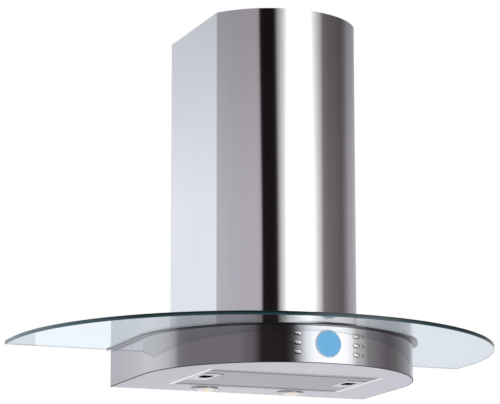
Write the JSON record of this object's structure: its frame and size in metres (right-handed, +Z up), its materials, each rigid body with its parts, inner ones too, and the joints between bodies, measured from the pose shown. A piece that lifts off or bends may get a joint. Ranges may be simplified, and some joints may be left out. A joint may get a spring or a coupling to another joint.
{
  "type": "range hood",
  "caption": "Wall-mounted stainless range hood with a half-round glass canopy, bowed chimney, round blue display, push buttons, grease filter and lamps underneath.",
  "frame": {"origin": "middle of the body's back face, on the wall", "axes": "+X right as the cook sees it, -Y to the front, +Y into the wall, +Z up"},
  "size_m": [0.9, 0.5, 0.6601],
  "materials": {
    "steel_chimney": "satin",
    "steel_body": "satin",
    "steel_panel": "satin",
    "zinc_steel": "satin",
    "canopy_glass": "gloss",
    "black_rubber": "matte",
    "black_plastic": "matte",
    "grey_plastic": "matte",
    "white_plastic": "gloss",
    "chrome_trim": "polished",
    "lens_glass": "frosted",
    "bulb_glass": "gloss",
    "filter_mesh": "satin",
    "display_blue": "gloss",
    "circuit_board": "satin"
  },
  "bodies": {
    "hood": {"lower_chimney": "steel_chimney", "body_fascia": "steel_body", "glass_seat_plate": "steel_body", "bottom_panel": "steel_panel", "back_panel": "zinc_steel", "hanging_bracket_left": "zinc_steel", "hanging_bracket_right": "zinc_steel", "motor_box": "zinc_steel", "motor": "zinc_steel", "motor_bracket": "zinc_steel", "clamp_screw_1": "zinc_steel", "clamp_screw_2": "zinc_steel", "clamp_screw_3": "zinc_steel", "clamp_screw_4": "zinc_steel", "glass_canopy": "canopy_glass", "glass_gasket": "black_rubber", "scroll_half_left": "black_plastic", "scroll_half_right": "black_plastic", "outlet_collar": "black_plastic", "cable_gland": "black_plastic", "display_module": "black_plastic", "lamp_transformer": "black_plastic", "capacitor": "grey_plastic", "terminal_box": "grey_plastic", "control_box": "grey_plastic", "lamp_holder_left": "white_plastic", "lamp_holder_right": "white_plastic", "display_bezel": "white_plastic", "damper_pin": "chrome_trim", "filter_rail_left": "chrome_trim", "filter_rail_right": "chrome_trim", "lamp_bezel_left": "chrome_trim", "lamp_bezel_right": "chrome_trim", "lamp_lens_left": "lens_glass", "lamp_lens_right": "lens_glass", "lamp_bulb_left": "bulb_glass", "lamp_bulb_right": "bulb_glass", "display_lens": "display_blue", "control_board": "circuit_board"},
    "upper_cover": {"upper_chimney": "steel_chimney", "upper_bracket": "zinc_steel"},
    "fan_wheel": {"impeller": "grey_plastic", "motor_shaft": "chrome_trim"},
    "front_flap": {"damper_flap_front": "grey_plastic"},
    "rear_flap": {"damper_flap_rear": "grey_plastic"},
    "filter_cassette": {"filter_face": "filter_mesh", "filter_frame": "steel_panel", "filter_mesh": "filter_mesh"},
    "left_handle": {"filter_handle_left": "steel_panel"},
    "right_handle": {"filter_handle_right": "steel_panel"},
    "key_left_top": {"button_left_top": "chrome_trim"},
    "key_left_middle": {"button_left_middle": "chrome_trim"},
    "key_left_bottom": {"button_left_bottom": "chrome_trim"},
    "key_right_top": {"button_right_top": "chrome_trim"},
    "key_right_middle": {"button_right_middle": "chrome_trim"},
    "key_right_bottom": {"button_right_bottom": "chrome_trim"}
  },
  "joints": [
    {"name": "upper_cover_slide", "type": "slide", "parent": "hood", "child": "upper_cover", "axis": [0, 0, 1], "range_m": [0, 0.4]},
    {"name": "fan_wheel_spin", "type": "hinge", "parent": "hood", "child": "fan_wheel", "pos_m": [0, -0.104, 0.1543], "axis": [1, 0, 0], "continuous": true},
    {"name": "front_flap_hinge", "type": "hinge", "parent": "hood", "child": "front_flap", "pos_m": [0, -0.146, 0.32495], "axis": [1, 0, 0], "range_deg": [-80, 0]},
    {"name": "rear_flap_hinge", "type": "hinge", "parent": "hood", "child": "rear_flap", "pos_m": [0, -0.146, 0.32495], "axis": [1, 0, 0], "range_deg": [0, 80]},
    {"name": "filter_swing", "type": "hinge", "parent": "hood", "child": "filter_cassette", "pos_m": [0, -0.289, -0.031], "axis": [1, 0, 0], "range_deg": [-60, 0]},
    {"name": "left_handle_slide", "type": "slide", "parent": "filter_cassette", "child": "left_handle", "axis": [0, -1, 0], "range_m": [0, 0.008], "stiffness_N_per_m": 300, "springref_m": -0.004},
    {"name": "right_handle_slide", "type": "slide", "parent": "filter_cassette", "child": "right_handle", "axis": [0, -1, 0], "range_m": [0, 0.008], "stiffness_N_per_m": 300, "springref_m": -0.004},
    {"name": "key_left_top_press", "type": "slide", "parent": "hood", "child": "key_left_top", "axis": [0.218, 0.9759, 0], "range_m": [0, 0.0015], "stiffness_N_per_m": 400, "springref_m": -0.001},
    {"name": "key_left_middle_press", "type": "slide", "parent": "hood", "child": "key_left_middle", "axis": [0.218, 0.9759, 0], "range_m": [0, 0.0015], "stiffness_N_per_m": 400, "springref_m": -0.001},
    {"name": "key_left_bottom_press", "type": "slide", "parent": "hood", "child": "key_left_bottom", "axis": [0.218, 0.9759, 0], "range_m": [0, 0.0015], "stiffness_N_per_m": 400, "springref_m": -0.001},
    {"name": "key_right_top_press", "type": "slide", "parent": "hood", "child": "key_right_top", "axis": [-0.218, 0.9759, 0], "range_m": [0, 0.0015], "stiffness_N_per_m": 400, "springref_m": -0.001},
    {"name": "key_right_middle_press", "type": "slide", "parent": "hood", "child": "key_right_middle", "axis": [-0.218, 0.9759, 0], "range_m": [0, 0.0015], "stiffness_N_per_m": 400, "springref_m": -0.001},
    {"name": "key_right_bottom_press", "type": "slide", "parent": "hood", "child": "key_right_bottom", "axis": [-0.218, 0.9759, 0], "range_m": [0, 0.0015], "stiffness_N_per_m": 400, "springref_m": -0.001}
  ]
}
